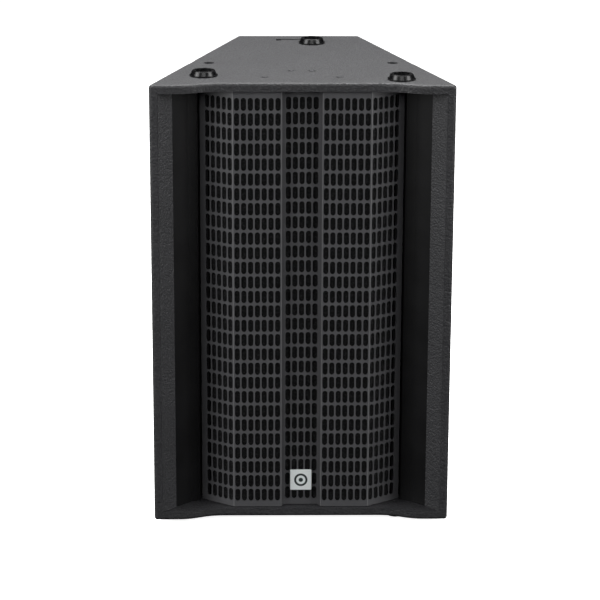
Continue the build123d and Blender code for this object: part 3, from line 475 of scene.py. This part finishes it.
def convoluted_pad(shape, low, high, across, side):
    """One pad: flat on the wall, waves on its inner face, closed round its edge."""
    columns = round((high.y - low.y) / wave_step)
    rows = round((high.z - low.z) / wave_step)
    thickness = across[1]

    def wall_x(y):
        share = (y - low.y) / (high.y - low.y)
        return -side * (low.x + across[0] * share)

    front, back = [], []
    for row in range(rows + 1):
        z = low.z + (high.z - low.z) * row / rows
        wave_z = math.cos(2 * math.pi * (z - low.z) / wave_pitch)
        inner, outer = [], []
        for column in range(columns + 1):
            y = low.y + (high.y - low.y) * column / columns
            wave = 0.5 + 0.5 * wave_z * math.cos(2 * math.pi * (y - low.y) / wave_pitch)
            rough = noise.noise(Vector((y, z, low.x)) / 0.006) * 0.0004
            deep = thickness * (foam_base + (0.96 - foam_base) * wave) + rough
            inner.append((wall_x(y) - side * deep, y, z))
            outer.append((wall_x(y), y, z))
        front.append(inner)
        back.append(outer)
    near = skin_grid(shape, front)
    far = skin_grid(shape, back)
    loop = [near[0], [r[-1] for r in near], near[-1][::-1], [r[0] for r in near][::-1]]
    rim = [far[0], [r[-1] for r in far], far[-1][::-1], [r[0] for r in far][::-1]]
    for inner_run, outer_run in zip(loop, rim):
        for a, b, c, d in zip(inner_run, inner_run[1:], outer_run[1:], outer_run):
            shape.faces.new((a, b, c, d))
    bmesh.ops.recalc_face_normals(shape, faces=shape.faces)


# First colour: painted shade in the pores; second: the grey of the struts.
grey_foam = finish("grey_open_foam", {"Specular IOR Level": 0.25},
                   open_cells((0.055, 0.055, 0.060), (0.22, 0.22, 0.23)))
for side, hand in ((1, "left"), (-1, "right")):
    node = f"damping_pads_{hand}"
    low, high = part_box(node)
    if side == -1:
        low, high = Vector((-high.x, low.y, low.z)), Vector((-low.x, high.y, high.z))
    heights = sorted({round(v.co.z, 5) for v in nodes[node].data.vertices})
    front_x = [abs(v.co.x) for v in nodes[node].data.vertices if v.co.y < low.y + 1e-4]
    thickness = max(front_x) - min(front_x)
    run = high.x - low.x - thickness
    pads = bmesh.new()
    for bottom, top in zip(heights[::2], heights[1::2]):
        lowest = Vector((low.x, low.y, bottom))
        highest = Vector((high.x, high.y, top))
        convoluted_pad(pads, lowest, highest, (run, thickness), -side)
    piece = mesh_piece(f"convoluted_foam_{hand}", pads, grey_foam)
    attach(piece, "cabinet")
    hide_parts(node)


# ---- carrying handles ------------------------------------------------------
# Injection moulded cups let into the side walls, each with a steel bar across
# its mouth inside a ribbed rubber sleeve.
sleeve_rib = 0.0042
sleeve_groove = 0.0007


def shaft_of(points):
    """Middle, direction and half length of a straight round bar, from its surface."""
    middle = sum(points, Vector()) / len(points)
    far = max(points, key=lambda p: (p - middle).length)
    near = max(points, key=lambda p: (p - far).length)
    first = [p for p in points if (p - far).length < (p - near).length]
    second = [p for p in points if (p - far).length >= (p - near).length]
    ends = [sum(group, Vector()) / len(group) for group in (first, second)]
    return (ends[0] + ends[1]) / 2, (ends[0] - ends[1]).normalized(), (ends[0] - ends[1]).length / 2


def turned(shape, profile, frame_matrix, segments=48):
    """Revolves (radius, height) points about the local Z axis; closed where a radius is 0."""
    rings = []
    for radius, height in profile:
        if radius < 1e-7:
            rings.append([shape.verts.new(frame_matrix @ Vector((0, 0, height)))])
            continue
        ring = []
        for turn in range(segments):
            angle = 2 * math.pi * turn / segments
            spot = Vector((radius * math.cos(angle), radius * math.sin(angle), height))
            ring.append(shape.verts.new(frame_matrix @ spot))
        rings.append(ring)
    for lower, upper in zip(rings, rings[1:]):
        for turn in range(segments):
            after = (turn + 1) % segments
            corners = [lower[turn % len(lower)], lower[after % len(lower)],
                       upper[after % len(upper)], upper[turn % len(upper)]]
            corners = list(dict.fromkeys(corners))
            if len(corners) > 2:
                shape.faces.new(corners)


def facing(origin, direction):
    """A frame at origin whose Z axis points along direction."""
    turn = Vector(direction).to_track_quat("Z", "Y").to_matrix().to_4x4()
    return Matrix.Translation(origin) @ turn


def ribbed_rubber(place):
    dust = place.grain(0.008, 4.0)
    return {
        "Base Color": dust.shades((0.011, 0.011, 0.011), (0.024, 0.024, 0.024)),
        "Roughness": dust * 0.2 + 0.55,
        "Normal": place.grain(0.0007).relief(0.00008, 0.6),
    }


grip_rubber = finish("ribbed_rubber", {"Specular IOR Level": 0.4}, ribbed_rubber)
coat(moulding, "handle_cup_left", "handle_cup_right")
for hand in ("left", "right"):
    node = f"handle_grip_{hand}"
    middle, along, half = shaft_of([v.co.copy() for v in nodes[node].data.vertices])
    low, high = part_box(node)
    radius = (high.z - low.z) / 2
    middle.z = (low.z + high.z) / 2
    profile = [(0, -half), (radius - sleeve_groove, -half)]
    ribs = round(2 * half / sleeve_rib)
    for rib in range(ribs):
        for share, drop in ((0.12, sleeve_groove), (0.26, 0.0), (0.74, 0.0), (0.88, sleeve_groove)):
            profile.append((radius - drop, -half + 2 * half * (rib + share) / ribs))
    profile += [(radius - sleeve_groove, half), (0, half)]
    sleeve = bmesh.new()
    turned(sleeve, profile, facing(middle, along))
    bmesh.ops.recalc_face_normals(sleeve, faces=sleeve.faces)
    piece = mesh_piece(f"ribbed_grip_{hand}", sleeve, grip_rubber)
    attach(piece, "cabinet")
    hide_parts(node)


# ---- connector dish --------------------------------------------------------
# Moulded dish in the back panel, with two round locking sockets screwed to its
# floor.  Brass blades stand in the ring-shaped gap of each socket.
coat(moulding, "connector_dish", "speaker_sockets")
blade_count = 4
blade_width = 0.0032
blade_thickness = 0.0009
blade_length = 0.0075


def stamped_brass(place):
    rub = place.stretched(1.0, 0.1, 1.0).grain(0.0008, 3.0)
    return {
        "Base Color": rub.shades((0.62, 0.42, 0.14), (0.78, 0.57, 0.24)),
        "Roughness": rub * 0.2 + 0.2,
        "Normal": rub.relief(0.00003, 0.4),
    }


def slab(shape, place, size):
    """A box with slightly eased edges."""
    made = bmesh.ops.create_cube(shape, size=1.0, matrix=place @ Matrix.Diagonal((*size, 1.0)))
    edges = list({edge for vert in made["verts"] for edge in vert.link_edges})
    bmesh.ops.bevel(shape, geom=edges, offset=min(size) * 0.2, segments=2, affect="EDGES")


socket_low, socket_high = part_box("speaker_sockets")
socket_middles = [Vector((x, 0, (socket_low.z + socket_high.z) / 2)) for x in (-0.025, 0.025)]
ring_middle = 0.0087
blades = bmesh.new()
for middle in socket_middles:
    for blade in range(blade_count):
        angle = math.pi * (blade + 0.5) / 2
        spot = middle + Vector((math.cos(angle), 0, math.sin(angle))) * ring_middle
        spot.y = socket_low.y + 0.0030 + blade_length / 2
        place = Matrix.Translation(spot) @ Matrix.Rotation(-angle, 4, "Y")
        slab(blades, place, (blade_thickness, blade_length, blade_width))
piece = mesh_piece("socket_blades", blades, finish("stamped_brass", {"Metallic": 1.0}, stamped_brass))
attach(piece, "cabinet")


# ---- acoustic foam ---------------------------------------------------------
# A sheet of black reticulated foam behind the grille.  It follows the folds of
# the steel and its cut face is uneven.
foam_voxel = 0.0028
foam_tear = 0.0007
# First colour: painted shade in the pores; second: the struts of the black foam.
black_foam = finish("black_open_foam", {"Specular IOR Level": 0.3},
                    open_cells((0.0020, 0.0020, 0.0024), (0.030, 0.030, 0.032)))
foam = bpy.data.objects.new("torn_foam_sheet", nodes["grille_foam"].data.copy())
bpy.context.scene.collection.objects.link(foam)
remesh = foam.modifiers.new("cut", "REMESH")
remesh.mode = "VOXEL"
remesh.voxel_size = foam_voxel
bpy.context.view_layer.update()
foam_mesh = bpy.data.meshes.new_from_object(foam.evaluated_get(bpy.context.evaluated_depsgraph_get()))
foam.modifiers.clear()
foam.data = foam_mesh
for vert in foam_mesh.vertices:
    if vert.normal.y < -0.3:
        vert.co.y += (noise.noise(vert.co / 0.0045) + 1) / 2 * foam_tear
foam_mesh.materials.clear()
foam_mesh.materials.append(black_foam)
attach(foam, "cabinet")
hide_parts("grille_foam")


# ---- grille ----------------------------------------------------------------
# Punched and folded 1.5 mm steel with long round-ended holes and a recessed centre strip,
# powder coated satin black.  The walls of the holes carry painted shade and the folds a painted highlight.
# Where the folds lie across the grille; the paint is lighter along them as a painted highlight.
fold_half = 0.1031
strip_half = 0.0303


def grille_coat(place):
    x, y, z = place.axes()
    peel = place.grain(0.0008, 2.0)
    cloud = place.grain(0.02, 3.0)
    # Surfaces that face sideways, the walls of the holes, get a near-black colour below: painted shade
    # inside the holes.
    facing = place.node("NewGeometry", output="Normal").axes()[1]
    face = abs(facing).step(0.25, 0.6)
    # A paler band along each fold: painted highlight where the bend catches the light.
    outer_fold_highlight = 1 - abs(abs(x) - fold_half).step(0.0004, 0.0014)
    strip_fold_highlight = 1 - abs(abs(x) - strip_half).step(0.0004, 0.0014)
    folds = outer_fold_highlight + strip_fold_highlight
    coated = cloud.shades((0.070, 0.070, 0.074), (0.098, 0.098, 0.103))
    coat_with_painted_highlight = folds.over(coated, folds.shades((0, 0, 0), (0.15, 0.15, 0.155)))
    return {
        "Base Color": face.over(cloud.shades((0.0015, 0.0015, 0.0015), (0.003, 0.003, 0.003)), coat_with_painted_highlight),
        "Roughness": cloud * 0.10 + 0.26,
        "Normal": peel.relief(0.00009, 0.6),
    }


coat(finish("grille_powder_coat", {"Specular IOR Level": 0.5}, grille_coat), "grille")


# ---- badge -----------------------------------------------------------------
# Small satin aluminium plate on the recessed strip, printed with a plain dark
# ring and dot.
badge_low, badge_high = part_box("badge_plate")
badge_middle = (badge_low + badge_high) / 2


def printed_plate(place):
    x, y, z = place.axes()
    across = x - badge_middle.x
    up = z - badge_middle.z
    radius = (across * across + up * up) ** 0.5
    ring = radius.step(0.0070, 0.0072) * (1 - radius.step(0.0102, 0.0104))
    dot = 1 - radius.step(0.0032, 0.0034)
    ink = ring + dot
    brush = place.stretched(1.0, 1.0, 0.05).grain(0.0004, 3.0)
    plate = brush.shades((0.76, 0.80, 0.80), (0.86, 0.90, 0.90))
    print_black = ink.shades((0, 0, 0), (0.02, 0.03, 0.03))
    return {
        "Base Color": ink.over(plate, print_black),
        "Roughness": brush * 0.12 + 0.38,
        "Normal": brush.relief(0.00002, 0.3),
    }


coat(finish("printed_badge", {}, printed_plate), "badge_plate")


# ---- rubber cups and feet --------------------------------------------------
# Hard black rubber, moulded; the cups on top take the noses of the feet of the
# cabinet above.  Each is held by one wood screw.
def moulded_rubber(place):
    bloom = place.grain(0.010, 4.0)
    return {
        "Base Color": bloom.shades((0.0028, 0.0028, 0.0032), (0.0055, 0.0055, 0.0060)),
        "Roughness": bloom * 0.14 + 0.20,
        "Normal": place.grain(0.0009).relief(0.00006, 0.5),
    }


coat(finish("moulded_rubber", {"Specular IOR Level": 0.4}, moulded_rubber), "rubber_feet",
     "stacking_cup_front_left", "stacking_cup_front_right", "stacking_cup_rear")


# ---- threaded inserts ------------------------------------------------------
# Black zinc plated steel sleeves pressed into the end panels, tapped M8.
thread_pitch = 0.00125
thread_deep = 0.0007
thread_segments = 24


def islands(node):
    """The separate solids of a CAD node, each as a list of points."""
    shape = bmesh.new()
    shape.from_mesh(nodes[node].data)
    bmesh.ops.remove_doubles(shape, verts=shape.verts, dist=1e-6)
    left = set(shape.verts)
    found = []
    while left:
        group, front = [], [left.pop()]
        while front:
            vert = front.pop()
            group.append(vert.co.copy())
            for edge in vert.link_edges:
                other = edge.other_vert(vert)
                if other in left:
                    left.remove(other)
                    front.append(other)
        found.append(group)
    shape.free()
    return found


def black_zinc(place):
    stain = place.grain(0.004, 4.0)
    return {
        "Base Color": stain.shades((0.045, 0.045, 0.048), (0.12, 0.12, 0.125)),
        "Roughness": stain * 0.2 + 0.28,
        "Normal": place.grain(0.0006).relief(0.00004, 0.4),
    }


black_zinc_steel = finish("black_zinc_steel", {"Metallic": 1.0}, black_zinc)
sleeves = bmesh.new()
for points in islands("threaded_inserts"):
    middle = sum(points, Vector()) / len(points)
    outer = max((p.xy - middle.xy).length for p in points)
    inner = min((p.xy - middle.xy).length for p in points)
    low_z, high_z = min(p.z for p in points), max(p.z for p in points)
    seat = Matrix.Translation((middle.x, middle.y, 0))
    ease = 0.0004
    turned(sleeves, [(inner, low_z), (outer - ease, low_z), (outer, low_z + ease), (outer, high_z - ease),
                     (outer - ease, high_z), (inner, high_z)], seat, 2 * thread_segments)
    turns = (high_z - low_z) / thread_pitch
    crests = []
    for step in range(round(turns * thread_segments) + 1):
        angle = 2 * math.pi * step / thread_segments
        root = low_z + (high_z - low_z - thread_pitch) * step / round(turns * thread_segments)
        heading = Vector((math.cos(angle), math.sin(angle), 0))
        crests.append([
            Vector((middle.x, middle.y, root)) + heading * inner,
            Vector((middle.x, middle.y, root + 0.45 * thread_pitch)) + heading * (inner - thread_deep),
            Vector((middle.x, middle.y, root + 0.55 * thread_pitch)) + heading * (inner - thread_deep),
            Vector((middle.x, middle.y, root + thread_pitch)) + heading * inner,
        ])
    skin_grid(sleeves, crests)
piece = mesh_piece("tapped_inserts", sleeves, black_zinc_steel)
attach(piece, "cabinet")
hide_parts("threaded_inserts")


# ---- wood screws -----------------------------------------------------------
# Identical black pan-head screws with a cross recess; they hold the drivers,
# the horn, the dish, the handles, the latch plates and the feet.
head_rise_share = 0.55     # where the head's side turns into its dome
recess_arm = 0.0021
recess_half = 0.00045
recess_deep = 0.0013


def cross_screw():
    """One screw along Z with the plane under its head at z = 0."""
    head, rise, shank, length = 0.0045, 0.0024, 0.0025, 0.012
    shape = bmesh.new()
    profile = [(0, -length), (shank, -length + 1.5 * shank)]
    for thread in range(6):
        root = -length + 1.5 * shank + thread * (length - 2 * shank) / 6
        profile += [(shank * 0.72, root + 0.0003), (shank, root + 0.0007)]
    profile += [(shank, 0), (head, 0), (head, rise * 0.3)]
    for turn in range(1, 7):
        angle = math.pi / 2 * turn / 6
        profile.append((head * math.cos(angle), rise * 0.3 + rise * 0.7 * math.sin(angle)))
    outline = [(max(radius, 0.0), height) for radius, height in profile[:-1]]
    turned(shape, outline + [(0, rise)], Matrix.Identity(4), 24)
    bmesh.ops.recalc_face_normals(shape, faces=shape.faces)
    blank = mesh_piece("screw_blank", shape, black_zinc_steel, 35.0)
    cutter_shape = bmesh.new()
    for quarter in range(2):
        place = Matrix.Translation((0, 0, rise)) @ Matrix.Rotation(quarter * math.pi / 2, 4, "Z")
        arm = Matrix.Diagonal((2 * recess_arm, 2 * recess_half, 2 * recess_deep, 1.0))
        bmesh.ops.create_cube(cutter_shape, size=1.0, matrix=place @ arm)
    cutter = mesh_piece("screw_recess", cutter_shape, black_zinc_steel)
    cut = blank.modifiers.new("recess", "BOOLEAN")
    cut.operation = "DIFFERENCE"
    cut.solver = "EXACT"
    cut.use_self = True
    cut.object = cutter
    bpy.context.view_layer.update()
    made = bpy.data.meshes.new_from_object(blank.evaluated_get(bpy.context.evaluated_depsgraph_get()))
    for spare in (blank, cutter):
        bpy.data.objects.remove(spare)
    return made


screw_mesh = cross_screw()
all_screws = bmesh.new()
for number, points in enumerate(islands("wood_screws")):
    middle, along, half = shaft_of(points)
    spread = [0.0, 0.0]
    for p in points:
        reach = (p - middle).dot(along)
        spread[reach > 0] = max(spread[reach > 0], (p - middle - along * reach).length)
    if spread[0] > spread[1]:
        along = -along
    top = max((p - middle).dot(along) for p in points)
    centre_line = [p for p in points if (p - middle).dot(along) < 0]
    foot = sum(centre_line, Vector()) / len(centre_line)
    seat = foot + along * (top - 0.0024 - (foot - middle).dot(along))
    place = facing(seat, along) @ Matrix.Rotation(number * 0.7, 4, "Z")
    copy = screw_mesh.copy()
    copy.transform(place)
    all_screws.from_mesh(copy)
    bpy.data.meshes.remove(copy)
piece = mesh_piece("cross_head_screws", all_screws, black_zinc_steel, 35.0)
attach(piece, "cabinet")
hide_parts("wood_screws")


# ---- studio ----------------------------------------------------------------
# White sweep, one large soft light overhead, one at each side and a weak one
# in front.
def white_sweep(place):
    return {"Base Color": place.grain(0.8).shades((0.90, 0.90, 0.90), (0.92, 0.92, 0.92))}


floor_shape = bmesh.new()
bmesh.ops.create_grid(floor_shape, x_segments=1, y_segments=1, size=14.0)
floor = mesh_piece("white_floor", floor_shape, finish("white_sweep", {
    "Roughness": 0.9, "Emission Color": (1.0, 1.0, 1.0, 1.0), "Emission Strength": 0.9}, white_sweep))
floor.visible_diffuse = False
floor.visible_glossy = False
floor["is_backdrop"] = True


def soft_light(name, size, power, place, target):
    lamp = bpy.data.lights.new(name, "AREA")
    lamp.shape = "RECTANGLE"
    lamp.size, lamp.size_y = size
    lamp.energy = power
    holder = bpy.data.objects.new(name, lamp)
    holder.location = place
    holder.rotation_euler = (Vector(target) - Vector(place)).to_track_quat("-Z", "Y").to_euler()
    bpy.context.scene.collection.objects.link(holder)


middle = (cad_low + cad_high) / 2
soft_light("overhead", (3.2, 2.6), 185.0, (0.0, 0.9, 3.2), middle)
soft_light("left_side", (1.6, 2.2), 84.0, (-2.8, -1.4, 1.5), middle)
soft_light("right_side", (1.6, 2.2), 74.0, (2.8, -1.4, 1.5), middle)
soft_light("front_fill", (2.4, 1.6), 46.0, (0.0, -4.2, 2.4), middle)

world = bpy.data.worlds.new("studio_room")
world.use_nodes = True
world.node_tree.nodes["Background"].inputs["Color"].default_value = (1.0, 1.0, 1.0, 1.0)
world.node_tree.nodes["Background"].inputs["Strength"].default_value = 1.0
world.cycles_visibility.diffuse = False
world.cycles_visibility.glossy = False
bpy.context.scene.world = world
bpy.context.scene.view_settings.view_transform = "Standard"

yaw, pitch, roll = 0.0182, 0.2883, 0.0042
ahead = Vector((math.sin(yaw) * math.cos(pitch), math.cos(yaw) * math.cos(pitch), -math.sin(pitch)))
level = Vector((math.cos(yaw), -math.sin(yaw), 0))
upright = level.cross(ahead)
right = math.cos(roll) * level + math.sin(roll) * upright
up = math.cos(roll) * upright - math.sin(roll) * level
camera_data = bpy.data.cameras.new("camera")
camera_data.sensor_width = 36.0
camera_data.lens = 144.99
camera_data.clip_end = 60.0
camera = bpy.data.objects.new("camera", camera_data)
camera.matrix_world = Matrix((
    (right.x, up.x, -ahead.x, -0.0661),
    (right.y, up.y, -ahead.y, -3.6732),
    (right.z, up.z, -ahead.z, 1.3911),
    (0, 0, 0, 1),
))
bpy.context.scene.collection.objects.link(camera)
bpy.context.scene.camera = camera

low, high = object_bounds()
